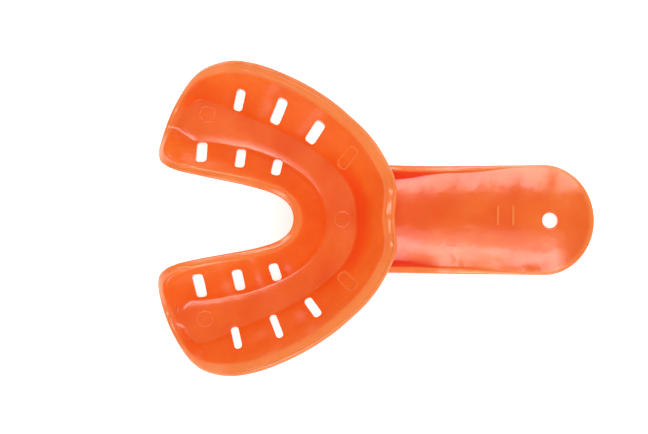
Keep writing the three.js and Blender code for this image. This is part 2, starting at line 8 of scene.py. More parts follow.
import bpy
import numpy as np
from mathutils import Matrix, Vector, noise
from mathutils.geometry import delaunay_2d_cdt


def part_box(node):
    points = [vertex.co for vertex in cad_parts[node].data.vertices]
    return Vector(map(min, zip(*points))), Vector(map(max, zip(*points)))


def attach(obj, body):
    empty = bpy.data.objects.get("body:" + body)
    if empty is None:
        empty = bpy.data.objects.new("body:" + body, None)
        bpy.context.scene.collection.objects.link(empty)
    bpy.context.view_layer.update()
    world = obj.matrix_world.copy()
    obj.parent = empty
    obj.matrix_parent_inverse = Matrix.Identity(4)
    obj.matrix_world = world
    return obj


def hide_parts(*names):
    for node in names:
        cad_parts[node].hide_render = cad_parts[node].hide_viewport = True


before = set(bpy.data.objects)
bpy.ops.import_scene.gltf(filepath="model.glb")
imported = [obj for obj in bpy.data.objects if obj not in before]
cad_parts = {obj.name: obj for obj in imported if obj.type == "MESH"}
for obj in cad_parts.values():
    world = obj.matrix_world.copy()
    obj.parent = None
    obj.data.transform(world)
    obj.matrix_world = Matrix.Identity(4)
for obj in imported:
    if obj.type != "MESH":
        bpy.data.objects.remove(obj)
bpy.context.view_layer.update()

MM = 0.001


def mm_box(node):
    low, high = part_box(node)
    return np.array(low) / MM, np.array(high) / MM


# ------------------------------------------------------------------ sizes taken from the frame
floor_low, floor_high = mm_box("arch_floor")
end_low, end_high = mm_box("handle_end_rim")

BASE_Z = floor_low[2]                      # underside of the tray
FLOOR = floor_high[2] - floor_low[2]       # top of the arch floor over BASE_Z
ROOT_X = mm_box("handle_dish")[0][0]
NOSE_X = end_low[0]                        # where the round end of the handle starts
NOSE = end_high[0] - end_low[0]            # length of the round end
HALF_END = end_high[1]                     # half width of the handle, past its taper
HALF_ROOT = mm_box("handle_neck")[1][1]    # half width of the handle at its root

# ------------------------------------------------------------------ measured sizes
WALL = 1.7                     # thickness of the arch walls
BEAD = 2.2                     # height of the bead along the rim
TAPER_X, TAPER = 16, 34        # start and length of the handle's change of width
DISH_Z, DISH_RISE = 2.6, 2.2   # middle of the dish, and the rise to its edge
DISH_EDGE_Z = DISH_Z + DISH_RISE
DISH_T = 1.8                   # thickness of the dish
RAIL_W, RAIL_END_W = 1.45, 0.62    # flat of the rail near the root and near the end
HOLE_X, HOLE_Y, HOLE_R = 54.5, 0.0, 2.0
ROOT_FILLET = 1.3
JOIN_X = ROOT_X + 6.0          # first plain section of the handle
# distances of the root sections from the front wall; the first lies inside it
ROOT_STEPS = [-0.55, 0.0, 0.07, 0.2, 0.4, 0.65, 0.95, 1.35, 1.9, 2.6, 3.4]

# Numbers of steps: half the arch, each half of an inner wall, and the parts of the handle
ARCH_STEPS = 290
WALL_STEPS = 15
MIX_STEPS, PLAIN_STEPS, NOSE_STEPS, DISH_STEPS = 13, 76, 52, 26

# The +y half of the arch, from the front outer wall round the heel to the middle of the
# tongue-side wall: outline x, y, rim height, crease x, y, rim width
SECTIONS = [
    (13.64, 0.0, 14.4, 4.01, 0.0, 3.05), (13.89, 3.58, 15.3, 3.93, 2.76, 3.05),
    (14.11, 7.15, 16.9, 3.33, 5.91, 3.05), (13.5, 10.25, 17.0, 2.65, 7.89, 3.05),
    (12.0, 13.5, 17.0, 1.65, 9.73, 3.05), (9.52, 17.87, 17.0, -0.26, 12.36, 3.05),
    (6.36, 21.93, 17.0, -2.7, 14.85, 3.05), (2.6, 25.54, 17.0, -5.64, 17.35, 3.05),
    (-1.25, 28.86, 17.0, -9.19, 19.85, 3.05), (-7.59, 33.17, 17.0, -14.57, 22.87, 3.05),
    (-14.32, 36.6, 16.9, -20.08, 25.37, 3.05), (-21.54, 39.23, 16.6, -25.59, 27.73, 3.05),
    (-27.96, 40.23, 15.6, -30.18, 29.71, 3.05), (-32.21, 39.8, 12.7, -33.59, 31.15, 2.79),
    (-35.97, 38.53, 10.2, -36.61, 31.94, 2.41), (-38.91, 36.3, 7.8, -38.7, 31.2, 2.03),
    (-41.29, 33.39, 5.4, -39.95, 29.6, 1.65), (-43.33, 30.15, 3.6, -40.7, 27.8, 1.35),
    (-44.82, 27.04, 3.0, -41.1, 26.0, 1.25), (-45.94, 24.02, 3.1, -41.3, 24.5, 1.25),
    (-46.74, 20.77, 5.2, -41.4, 23.4, 1.45), (-46.97, 17.2, 10.3, -41.59, 22.56, 1.7),
    (-46.18, 14.63, 14.3, -41.57, 21.6, 1.91), (-44.51, 13.13, 16.5, -40.83, 20.91, 2.16),
    (-42.28, 12.09, 17.3, -39.66, 20.68, 2.21), (-39.9, 11.37, 17.5, -37.77, 20.63, 2.21),
    (-37.39, 10.84, 17.4, -35.69, 20.57, 2.21), (-34.94, 10.33, 17.1, -33.31, 20.32, 2.21),
    (-32.49, 9.87, 16.7, -30.81, 19.97, 2.21), (-30.02, 9.41, 16.2, -28.2, 19.42, 2.21),
    (-27.55, 8.94, 15.6, -25.45, 18.97, 2.21), (-25.13, 8.46, 14.9, -22.71, 18.17, 2.21),
    (-22.68, 7.92, 14.1, -19.72, 17.16, 2.21), (-20.22, 7.28, 13.2, -16.6, 15.89, 2.21),
    (-17.81, 6.49, 12.3, -13.36, 14.23, 2.21), (-15.54, 5.39, 11.5, -10.12, 12.07, 2.21),
    (-14.03, 4.21, 11.1, -7.72, 9.87, 2.21), (-13.0, 2.84, 10.9, -5.65, 7.1, 2.21),
    (-12.46, 1.45, 10.8, -4.36, 3.66, 2.21), (-12.28, 0.0, 10.8, -3.94, 0.0, 2.21),
]
# Turns a section, with its place in the list as last value, into its mirror image in y
MIRROR = np.array([1, -1, 1, 1, -1, 1.0, 1.0])

# Slots and pockets: centre x, y, length, width, lean in degrees
SLOTS = [
    (-26.41, 31.2, 5.0, 2.35, -17.2), (-16.13, 28.06, 6.15, 2.7, -27.3),
    (-6.73, 22.65, 5.6, 2.9, -38.1),
    (-27.08, -30.5, 5.7, 2.05, 15.8), (-16.72, -27.56, 6.3, 1.9, 22.7),
    (-7.27, -22.67, 5.55, 2.25, 35.9),
    (-36.11, 17.48, 6.05, 2.7, 2.5), (-26.11, 15.99, 5.5, 2.5, -3.3),
    (-16.71, 13.78, 4.55, 2.4, -10.6),
    (-36.44, -17.14, 5.6, 2.75, 7.5), (-26.49, -15.63, 5.1, 2.7, 9.7),
    (-17.09, -13.52, 4.3, 2.5, 17.3),
]
POCKETS = [(1.6, side * 15.85, 5.0, 2.3, -side * 43.0) for side in (1, -1)]
SLOT_CORNER_R = 0.85

# Faint raised ridges on the inside of the walls: plan start, plan end, height, half width
RIDGES = [
    ((-27.5, 35.2), (-20.6, 34.2), 0.10, 0.45), ((-27.6, 34.4), (-23.4, 34.6), 0.07, 0.4),
    ((-7.2, 29.0), (-1.6, 24.7), 0.10, 0.45), ((-28.6, -35.2), (-20.9, -34.2), 0.10, 0.45),
    ((-17.2, -32.4), (-13.3, -32.5), 0.09, 0.45), ((8.0, 4.2), (8.2, -5.4), 0.11, 0.5),
]


# ------------------------------------------------------------------ small maths
def lerp(a, b, t):
    return a + (b - a) * t


def clamp(value, low, high):
    return max(low, min(high, value))


def smooth(low, high, value):
    t = clamp((value - low) / (high - low), 0.0, 1.0)
    return t * t * (3 - 2 * t)


def vec(*values):
    return np.array(values, float)


def bend(before, corner, after, trim_in, trim_out, steps):
    """steps + 1 points of a round over a corner, trimmed off both its sides."""
    start = corner + (before - corner) * min(trim_in / np.linalg.norm(before - corner), 0.98)
    end = corner + (after - corner) * min(trim_out / np.linalg.norm(after - corner), 0.98)
    points = []
    for i in range(steps + 1):
        s = i / steps
        u = 1 - s
        points.append(u * u * start + 2 * s * u * corner + s * s * end)
    return points


def link_groups(groups, steps):
    """Joins groups of points with straight runs of the given numbers of steps."""
    points = list(groups[0])
    for group, count in zip(groups[1:], steps):
        a, b = points[-1], group[0]
        for i in range(1, count):
            points.append(a + (b - a) * i / count)
        points.extend(group if np.linalg.norm(b - a) > 1e-6 else group[1:])
    return points


def smooth_rows(rows, steps):
    """steps + 1 samples of a Hermite curve through rows, mirrored in y past both ends."""
    knots = np.array([tuple(row) + (i,) for i, row in enumerate(rows)], float)
    count = len(knots)
    padded = np.vstack([knots[1] * MIRROR, knots, knots[-2] * MIRROR])
    padded[0][6], padded[-1][6] = -1, count
    step = padded[1:] - padded[:-1]
    gap = 0.55 * np.hypot(*step[:, :2].T) + 0.45 * np.hypot(*step[:, 3:5].T)
    tangents = [None] * len(padded)
    for i in range(1, len(padded) - 1):
        ahead, behind = padded[i + 1] - padded[i], padded[i] - padded[i - 1]
        tangents[i] = (ahead / gap[i] * gap[i - 1] + behind / gap[i - 1] * gap[i]) \
            / (gap[i - 1] + gap[i])
    along = np.concatenate([[0], np.cumsum(gap[1:-1])])
    samples = []
    for sample in range(steps + 1):
        t = along[-1] * sample / steps
        i = min(int(np.searchsorted(along, t, side="right")) - 1, count - 2)
        length = along[i + 1] - along[i]
        u = (t - along[i]) / length
        samples.append((2 * u**3 - 3 * u * u + 1) * knots[i]
                       + (u**3 - 2 * u * u + u) * length * tangents[i + 1]
                       + (3 * u * u - 2 * u**3) * knots[i + 1]
                       + (u**3 - u * u) * length * tangents[i + 2])
    for end in (samples[0], samples[-1]):
        end[1] = end[4] = 0
    return samples


def signed_distance(points, polygon):
    """Distance from points to a closed polygon, negative inside it."""
    points, a = np.asarray(points, float), np.asarray(polygon, float)
    b = np.roll(a, -1, axis=0)
    ab = b - a
    rise = np.where(b[:, 1] == a[:, 1], 1e-12, b[:, 1] - a[:, 1])
    parts = []
    for first in range(0, len(points), 2000):      # in batches, to spare memory
        part = points[first:first + 2000]
        ap = part[:, None, :] - a[None]
        t = np.clip((ap * ab).sum(-1) / np.maximum((ab * ab).sum(-1), 1e-12), 0, 1)
        distance = np.linalg.norm(ap - t[..., None] * ab, axis=-1).min(1)
        x, y = part[:, 0:1], part[:, 1:2]
        crosses = ((a[:, 1] > y) != (b[:, 1] > y)) \
            & (x < (b[:, 0] - a[:, 0]) * (y - a[:, 1]) / rise + a[:, 0])
        parts.append(np.where(crosses.sum(1) % 2 == 1, -distance, distance))
    return np.concatenate(parts)


def triangulate(points, loop_sizes, upward, gap=1e-6, least=1e-10):
    """Triangles between 2D points that start with closed loops, and the triangles' centres."""
    edges, start = [], 0
    for size in loop_sizes:
        edges += [(start + i, start + (i + 1) % size) for i in range(size)]
        start += size
    _, _, faces, origins, _, _ = delaunay_2d_cdt(points, edges, [], 0, gap)
    triangles, centres = [], []
    for face in faces:
        ids = [origins[i][0] for i in face]
        a, b, c = (points[i] for i in ids)
        cross = (b.x - a.x) * (c.y - a.y) - (c.x - a.x) * (b.y - a.y)
        if abs(cross) < least:
            continue
        triangles.append(ids if (cross > 0) == upward else ids[::-1])
        centres.append(((a.x + b.x + c.x) / 3, (a.y + b.y + c.y) / 3))
    return triangles, centres


# ------------------------------------------------------------------ a mesh with tagged faces
TOP, UNDER, FLOOR_TOP, OTHER = "top", "under", "floor top", "other"


class Net:
    """Vertices, each with a paleness of painted light (above 0 a painted glow or highlight, below
    0 painted shade, deeper in colour), and tagged faces.
    """

    def __init__(self):
        self.verts, self.pale, self.faces, self.tags, self.known = [], [], [], [], {}

    def add(self, p, merge=True):
        """Adds the vertex (x, y, z[, paleness]) and returns its id; merge reuses a near one."""
        if merge:
            key = (round(p[0] * 2e3), round(p[1] * 2e3), round(p[2] * 2e3))
            if key in self.known:
                return self.known[key]
            self.known[key] = len(self.verts)
        self.verts.append((float(p[0]), float(p[1]), float(p[2])))
        self.pale.append(float(p[3]) if len(p) > 3 else 0.0)
        return len(self.verts) - 1

    def face(self, ids, tag=OTHER):
        """Adds a face, leaving out repeated corners."""
        corners = []
        for i in ids:
            if not corners or i != corners[-1]:
                corners.append(i)
        if len(corners) > 1 and corners[0] == corners[-1]:
            corners.pop()
        if len(set(corners)) >= 3:
            self.faces.append(tuple(corners))
            self.tags.append(tag)

    def strip(self, a, b, tag, flip):
        """Quads between two open rows of vertices."""
        for k in range(len(a) - 1):
            if flip:
                self.face((a[k], a[k + 1], b[k + 1], b[k]), tag)
            else:
                self.face((a[k], b[k], b[k + 1], a[k + 1]), tag)

    def bridge(self, a, b, flip=False):
        """Quads between two closed rings of vertices."""
        for i in range(len(a)):
            j = (i + 1) % len(a)
            self.face((a[j], a[i], b[i], b[j]) if flip else (a[i], a[j], b[j], b[i]))

    def tube(self, loops):
        """A skin over a row of closed loops."""
        for a, b in zip(loops, loops[1:]):
            for i in range(len(a)):
                j = (i + 1) % len(a)
                self.face((a[i], b[i], b[j], a[j]))


class Surface:
    """The third coordinate of a set of faces, over the first two."""

    def __init__(self, verts, faces):
        triangles = np.array([(f[0], f[k], f[k + 1]) for f in faces for k in range(1, len(f) - 1)])
        a, b, c = (verts[triangles[:, i]] for i in range(3))
        det = (b[:, 0] - a[:, 0]) * (c[:, 1] - a[:, 1]) - (c[:, 0] - a[:, 0]) * (b[:, 1] - a[:, 1])
        solid = np.abs(det) > 1e-9
        self.a, self.b, self.c, self.det = a[solid], b[solid], c[solid], det[solid]

    def at(self, x, y):
        a, b, c, det = self.a, self.b, self.c, self.det
        v = ((x - a[:, 0]) * (c[:, 1] - a[:, 1]) - (c[:, 0] - a[:, 0]) * (y - a[:, 1])) / det
        w = ((b[:, 0] - a[:, 0]) * (y - a[:, 1]) - (x - a[:, 0]) * (b[:, 1] - a[:, 1])) / det
        u = 1 - v - w
        i = int(np.argmax(np.minimum(np.minimum(u, v), w)))
        return float(u[i] * a[i, 2] + v[i] * b[i, 2] + w[i] * c[i, 2])


# ------------------------------------------------------------------ cuts
def slot_outline(x, y, length, width, lean, grow):
    """Rounded rectangle grown by grow, as a counter-clockwise loop."""
    r = SLOT_CORNER_R
    side, end = width / 2 - r, length / 2 - r
    corners = [(side, -end, -90), (side, end, 0), (-side, end, 90), (-side, -end, 180)]

    def on_arc(centre_x, centre_y, degrees):
        t = math.radians(degrees)
        return centre_x + (r + grow) * math.cos(t), centre_y + (r + grow) * math.sin(t)

    points = []
    for i, (corner_x, corner_y, start) in enumerate(corners):
        points += [on_arc(corner_x, corner_y, start + 90 * k / 6) for k in range(7)]
        a, b = points[-1], on_arc(*corners[(i + 1) % 4])
        # straight runs keep their length, and so their count, however far the outline grows
        count = max(1, int(math.hypot(b[0] - a[0], b[1] - a[1]) / 0.4 + 0.501))
        for k in range(1, count):
            points.append((a[0] + (b[0] - a[0]) * k / count, a[1] + (b[1] - a[1]) * k / count))
    cos, sin = math.cos(math.radians(lean)), math.sin(math.radians(lean))
    return [(x + p[0] * cos - p[1] * sin, y + p[0] * sin + p[1] * cos) for p in points]


def round_outline(x, y, radius, count):
    angles = [2 * math.pi * i / count for i in range(count)]
    return [(x + radius * math.cos(t), y + radius * math.sin(t)) for t in angles]


def open_region(net, tag, polygon, margin):
    """Takes out the faces with this tag near polygon.

    Returns the loop round the opening, as it ran on the old faces, and the old surface."""
    polygon = np.array(polygon)
    low, high = polygon.min(0) - margin - 2.5, polygon.max(0) + margin + 2.5
    verts = np.array(net.verts)
    near = []
    for i, face in enumerate(net.faces):
        x, y = verts[face[0]][:2]
        if net.tags[i] == tag and low[0] < x < high[0] and low[1] < y < high[1]:
            near.append(i)
    surface = Surface(verts, [net.faces[i] for i in near])
    ids = sorted({v for i in near for v in net.faces[i]})
    distance = dict(zip(ids, signed_distance(verts[ids][:, :2], polygon)))
    gone = set()
    for i in near:
        face = net.faces[i]
        if min(distance[v] for v in face) < margin:
            gone.add(i)
            continue
        centre = verts[list(face)].mean(0)
        if signed_distance([centre[:2]], polygon)[0] < margin:
            gone.add(i)
    # dicts rather than sets, to keep the order in which the loop is walked
    edges = dict.fromkeys((face[k], face[(k + 1) % len(face)])
                          for face in (net.faces[i] for i in gone) for k in range(len(face)))
    following = {a: b for a, b in edges if (b, a) not in edges}
    loop = [next(iter(following))]
    while following[loop[-1]] != loop[0]:
        loop.append(following[loop[-1]])
    assert len(loop) == len(following), "the opening has more than one rim"
    keep = [i for i in range(len(net.faces)) if i not in gone]
    net.faces = [net.faces[i] for i in keep]
    net.tags = [net.tags[i] for i in keep]
    return loop, surface


def stitch(net, loop, ring, tag):
    """Fills between the loop of an opening and a ring of vertices inside it."""
    ids = list(loop) + list(ring)
    outer = np.array([net.verts[i][:2] for i in loop])
    inner = np.array([net.verts[i][:2] for i in ring])
    count = len(loop)
    area = sum(outer[i][0] * outer[(i + 1) % count][1] - outer[(i + 1) % count][0] * outer[i][1]
               for i in range(count))
    points = [Vector(net.verts[i][:2]) for i in ids]
    triangles, centres = triangulate(points, (count, len(ring)), bool(area > 0))
    to_outer, to_inner = signed_distance(centres, outer), signed_distance(centres, inner)
    for triangle, a, b in zip(triangles, to_outer, to_inner):
        if a < 0 and b > 0:
            net.face([ids[i] for i in triangle], tag)


def through_hole(net, outline, edge_r, steps, margin, taper=0.0, pale=0.35):
    """Cuts an upright hole with rounded lips, its throat painted paler as light through thin
    plastic. outline(grow) gives its plan loop.
    """
    throats = []
    for tag, sign in ((TOP, 1), (UNDER, -1)):
        loop, surface = open_region(net, tag, outline(edge_r), margin)
        rings = []
        for k in range(steps + 1):
            t = math.pi / 2 * k / steps
            grow = edge_r * (1 - math.sin(t)) - (taper * k / steps if sign < 0 else 0)
            depth = edge_r * (1 - math.cos(t))
            rings.append([net.add((x, y, surface.at(x, y) - sign * depth, pale * k / steps), False)
                          for x, y in outline(grow)])
        stitch(net, loop, rings[0], tag)
        for a, b in zip(rings, rings[1:]):
            net.bridge(a, b, flip=sign < 0)
        throats.append(rings[-1])
    top, bottom = throats
    previous, wall_steps = top, 5
    for s in range(1, wall_steps + 1):
        ring = bottom
        if s < wall_steps:
            ring = [net.add(tuple(lerp(a, b, s / wall_steps)
                                  for a, b in zip(net.verts[i], net.verts[j])) + (pale,), False)
                    for i, j in zip(top, bottom)]
        net.bridge(previous, ring)
        previous = ring


def pocket(net, outline, depth, edge_r, margin):
    """A shallow blind recess in the top, its floor following the old surface."""
    loop, surface = open_region(net, TOP, outline(edge_r), margin)
    # growth, depth, paleness: over a slightly raised lip, then down the side to the bottom; the
    # paleness is painted light, brightest on the lip as a painted highlight
    profile = [
        (edge_r, 0.0, 0.3), (edge_r * 0.8, -0.05, 0.8), (edge_r * 0.55, -0.11, 1.4),
        (edge_r * 0.3, -0.10, 1.4), (edge_r * 0.08, 0.0, 1.4),
        (-0.02, 0.16, 1.2), (-0.08, depth * 0.5, 0.7), (-0.16, depth * 0.8, 0.3),
        (-0.28, depth - 0.02, 0.2), (-0.42, depth, 0.2),
    ]
    rings = [[net.add((x, y, surface.at(x, y) - down, pale), False) for x, y in outline(grow)]
             for grow, down, pale in profile]
    stitch(net, loop, rings[0], TOP)
    for a, b in zip(rings, rings[1:]):
        net.bridge(a, b)
    edge = previous = rings[-1]
    count = len(edge)
    centre_x = sum(net.verts[i][0] for i in edge) / count
    centre_y = sum(net.verts[i][1] for i in edge) / count
    for s in (0.7, 0.4, 0.12):
        ring = []
        for i in edge:
            x, y = lerp(centre_x, net.verts[i][0], s), lerp(centre_y, net.verts[i][1], s)
            ring.append(net.add((x, y, surface.at(x, y) - depth, 0.2), False))
        net.bridge(previous, ring)
        previous = ring
    centre = (centre_x, centre_y, surface.at(centre_x, centre_y) - depth, 0.2)
    middle = net.add(centre, False)
    for i in range(count):
        net.face((previous[i], previous[(i + 1) % count], middle))


# ------------------------------------------------------------------ the arch
def arch_section(row):
    """One section of the arch: its top from rim to floor, and its underside.

    Both are lists of (x, y, z, paleness). In the section's plane, points are (distance inwards
    from the outline, height). k runs over SECTIONS: about 14 to 22 is the heel, from about 21
    on the tongue side."""
    outline_x, outline_y, height, crease_x, crease_y, rim_width, k = row
    reach = math.hypot(crease_x - outline_x, crease_y - outline_y)
    dir_x, dir_y = (crease_x - outline_x) / reach, (crease_y - outline_y) / reach
    heel = smooth(13.5, 17.5, k) * (1 - smooth(20.0, 22.0, k))
    tongue = smooth(20.5, 22.5, k)
    tongue_front = smooth(30, 37, k)
    # fillet at the crease: its length up the wall and out over the floor, the rise at its foot
    up = lerp(lerp(0.5, lerp(0.55, 1.2, tongue_front), tongue), 1.6, heel)
    out = lerp(lerp(0.4, lerp(3.1, 2.0, tongue_front), tongue), 1.25, heel)
    foot_rise = lerp(0.0, lerp(0.40, 0.16, tongue_front), tongue) * smooth(21, 24, k)
    end = reach + max(out, lerp(1.95, 1.3, heel)) + 0.12
    lip = min(rim_width, 0.5 * reach)
    bead = min(BEAD, 0.62 * (height - 0.2))

    # corners of the top: outer edge, slightly crowned rim, shoulder, knee of the wall, crease
    side = vec(0, height - bead / 2)
    edge = vec(0, height - 0.05)
    crown = vec(lerp(0.5, 0.64, tongue) * lip, height + 0.10 * smooth(4, 9, height))
    shoulder, crease = vec(lip, height - lerp(0.12, 0.10, tongue)), vec(reach, FLOOR)
    run, rise = crease[0] - shoulder[0], shoulder[1] - crease[1]
    knee = vec(crease[0] - 0.55 * run, crease[1] + 0.43 * rise)
    slant = math.hypot(run, rise)
    foot = vec(reach - foot_rise * 0.2, FLOOR + max(foot_rise, 0.004))
    floor_turn, floor_end = vec(reach + out / 2, FLOOR), vec(end, FLOOR)
    foot_run = float(np.linalg.norm(floor_turn - foot))
    edge_r = min(0.48 * bead, 0.42 * lip) * lerp(1.0, 0.45, tongue)
    shoulder_r = min(lerp(0.85, 0.5, tongue), lerp(0.3, 0.16, tongue) * lip, 0.25 * slant)
    knee_r = min(2.6, 0.26 * slant)
    top = link_groups([
        [side],
        bend(vec(0, height - bead), edge, crown, edge_r, edge_r, 7),
        bend(edge, crown, shoulder, 0.2 * lip, 0.12 * lip, 4),
        bend(crown, shoulder, knee, shoulder_r, 1.35 * shoulder_r, 7),
        bend(shoulder, knee, crease, knee_r, knee_r, 7),
        bend(knee, foot, floor_turn, min(up, 0.45 * slant), 0.3 * foot_run, 6),
        bend(foot, floor_turn, floor_end, 0.66 * foot_run, 0.9 * out / 2, 7),
        [floor_end],
    ], [2, 2, 2, WALL_STEPS, WALL_STEPS, 1, 1])

    # corners of the underside, one wall thickness behind those of the top
    steep_angle = math.atan2(shoulder[1] - knee[1], knee[0] - shoulder[0])
    low_angle = math.atan2(knee[1] - crease[1], crease[0] - knee[0])
    knee_angle = (steep_angle + low_angle) / 2
    bead_z = height - bead
    face_x = shoulder[0] + (bead - 0.12) * (knee[0] - shoulder[0]) / (shoulder[1] - knee[1])
    neck = vec(clamp(face_x - WALL / math.sin(steep_angle), 0.12 * lip, 0.75 * lip), bead_z)
    base = vec(max(crease[0] - WALL * math.tan(low_angle / 2), neck[0] + 0.3), 0)
    tall = smooth(3.0, 6.5, height)
    back_knee = vec(
        lerp(lerp(neck[0], base[0], 0.5), knee[0] - WALL * math.sin(knee_angle), tall),
        lerp(neck[1] * 0.5, knee[1] - WALL * math.cos(knee_angle), tall))
    low_slant = np.linalg.norm(back_knee - base)
    bead_r = min(edge_r, 0.8 * neck[0])
    neck_r = min(0.7, 0.45 * neck[0], 0.3 * np.linalg.norm(back_knee - neck))
    back_r = min(2.0, 0.24 * low_slant)
    base_r = min(1.9, 0.42 * low_slant, 0.8 * (end - base[0]))
    bead_corner, under_end = vec(0, bead_z), vec(end, 0)
    under = link_groups([
        [side],
        bend(vec(0, height), bead_corner, vec(lip, bead_z), bead_r, bead_r, 6),
        bend(bead_corner, neck, back_knee, neck_r, neck_r, 4),
        bend(neck, back_knee, base, back_r, back_r, 4),
        bend(back_knee, base, under_end, base_r, base_r, 7),
        [under_end],
    ], [2, 2, 8, 8, 3])

    # painted light: the rim is painted paler, as a glow through thin plastic; weaker on the tongue
    # side and near the front
    rim_pale = lerp(1.0, 0.58, tongue) * (1 - 0.35 * (1 - smooth(2.0, 4.5, k)))
    front = 1 - smooth(3.0, 8.5, k)

    def top_pale(p):
        """Painted light: palest on the rim, faintly paler up the wall; painted shade, deep, at the
        foot of the front wall.
        """
        past_rim = max(0.0, p[0] - lip * 0.72) + max(0.0, (height - p[1]) - 0.9) * 0.35
        wall = 0.24 * smooth(0.4, 2.2, p[1] - FLOOR)
        if front > 0 and p[0] > lip:
            t = reach - p[0]
            wall -= 0.95 * front * smooth(-0.4, 0.9, t) * (1 - smooth(1.6, 5.2, t))
        return wall if wall < 0 else max(wall, (1 - smooth(0.2, 2.1, past_rim)) * rim_pale)

    # painted light on the underside below the rim
    def under_pale(p):
        return max(0.0, (1 - smooth(0.4, 2.6, height - bead / 2 - p[1])) * rim_pale)

    def place(p, pale):
        return outline_x + dir_x * p[0], outline_y + dir_y * p[0], p[1] + BASE_Z, pale(p)

    return [place(p, top_pale) for p in top], [place(p, under_pale) for p in under]


def plan_fill(net, loop, tag, upward, step):
    """Fills a flat loop of vertices over a staggered grid of points, so it is evenly meshed."""
    outline = [net.verts[i][:2] for i in loop]
    z = net.verts[loop[0]][2]
    polygon = np.array(outline)
    low, high = polygon.min(0), polygon.max(0)
    columns = np.arange(low[0] + step / 2, high[0], step)
    lines = np.arange(low[1] + step / 2, high[1], step)
    grid = np.array([(x + (step / 2 if j % 2 else 0), y) for j, y in enumerate(lines)
                     for x in columns])
    grid = grid[signed_distance(grid, polygon) < -0.55 * step]
    ids = list(loop) + [net.add((x, y, z), False) for x, y in grid]
    points = [Vector(p) for p in outline] + [Vector((float(x), float(y))) for x, y in grid]
    triangles, centres = triangulate(points, (len(loop),), upward)
    for triangle, distance in zip(triangles, signed_distance(centres, polygon)):
        if distance < 0:
            net.face([ids[i] for i in triangle], tag)


def height_grid(net, low, high, cell):
    """Heights of the upper surface on a grid over a plan box, and 1 where there is surface."""
    columns, lines = (int((high[i] - low[i]) / cell) + 1 for i in range(2))
    heights, mask = np.zeros((columns, lines)), np.zeros((columns, lines))
    verts = np.array(net.verts)

    def span(values, axis, count):
        first = max(0, math.ceil((min(values) - low[axis]) / cell))
        return range(first, min(count - 1, int((max(values) - low[axis]) / cell)) + 1)

    for face, tag in zip(net.faces, net.tags):
        if tag not in (TOP, FLOOR_TOP):
            continue
        for k in range(1, len(face) - 1):
            a, b, c = verts[face[0]], verts[face[k]], verts[face[k + 1]]
            xs, ys = (a[0], b[0], c[0]), (a[1], b[1], c[1])
            if max(xs) < low[0] or min(xs) > high[0] or max(ys) < low[1] or min(ys) > high[1]:
                continue
            det = (b[0] - a[0]) * (c[1] - a[1]) - (c[0] - a[0]) * (b[1] - a[1])
            if abs(det) < 1e-9:
                continue
            for i in span(xs, 0, columns):
                for j in span(ys, 1, lines):
                    x, y = low[0] + i * cell - a[0], low[1] + j * cell - a[1]
                    u = (x * (c[1] - a[1]) - y * (c[0] - a[0])) / det
                    v = (y * (b[0] - a[0]) - x * (b[1] - a[1])) / det
                    if u > -1e-6 and v > -1e-6 and u + v < 1 + 1e-6:
                        heights[i, j] = a[2] + u * (b[2] - a[2]) + v * (c[2] - a[2])
                        mask[i, j] = 1
    return heights, mask


def soften(net, low, high, sigma, weight):
    """Eases the upper surface in a plan box towards its blurred self; weight(x, y) is 0 to 1."""
    cell = 0.2
    heights, mask = height_grid(net, low, high, cell)
    radius = int(3 * sigma / cell)
    kernel = np.exp(-0.5 * (np.arange(-radius, radius + 1) * cell / sigma) ** 2)

    def blur(grid):
        for axis in (0, 1):
            grid = np.apply_along_axis(lambda q: np.convolve(q, kernel, "same"), axis, grid)
        return grid

    soft = blur(heights) / np.maximum(blur(mask), 1e-6)
    upper = {v for f, tag in zip(net.faces, net.tags) if tag in (TOP, FLOOR_TOP) for v in f}
    for vert in upper:
        x, y, z = net.verts[vert]
        if not (low[0] + 1 < x < high[0] - 1 and low[1] + 1 < y < high[1] - 1):
            continue
        amount = weight(x, y)
        if amount <= 0:
            continue
        u, v = (x - low[0]) / cell, (y - low[1]) / cell
        i, j = int(u), int(v)
        u, v = u - i, v - j
        target = lerp(lerp(soft[i, j], soft[i + 1, j], u),
                      lerp(soft[i, j + 1], soft[i + 1, j + 1], u), v)
        net.verts[vert] = (x, y, lerp(z, float(target), amount))


def soften_heels(net, outline):
    """Makes the heels a shallow dish, with no crease between their low lip and the floor."""
    def weight(x, y):
        inside = -signed_distance([(x, y)], outline)[0]
        return (1 - smooth(-41.5, -37.5, x)) * smooth(0.9, 2.4, inside)

    for low, high in (((-49.0, 9.0), (-29.0, 42.0)), ((-49.0, -42.0), (-29.0, -9.0))):
        soften(net, low, high, 1.1, weight)


def raise_ridges(net):
    verts = np.array(net.verts)
    inside = sorted({v for f, tag in zip(net.faces, net.tags) if tag == TOP for v in f})
    for start, end, height, half_width in RIDGES:
        start, end = np.array(start), np.array(end)
        line = end - start
        offset = verts[inside][:, :2] - start
        t = np.clip((offset @ line) / (line @ line), 0, 1)
        distance = np.linalg.norm(offset - t[:, None] * line, axis=1)
        rise = height * np.exp(-(distance / half_width) ** 2) \
            * np.sin(np.pi * np.clip(t, 0.02, 0.98)) ** 0.5
        for vert, dz in zip(inside, rise):
            if dz > 0.002:
                x, y, z = net.verts[vert]
                net.verts[vert] = (x, y, z + float(dz))


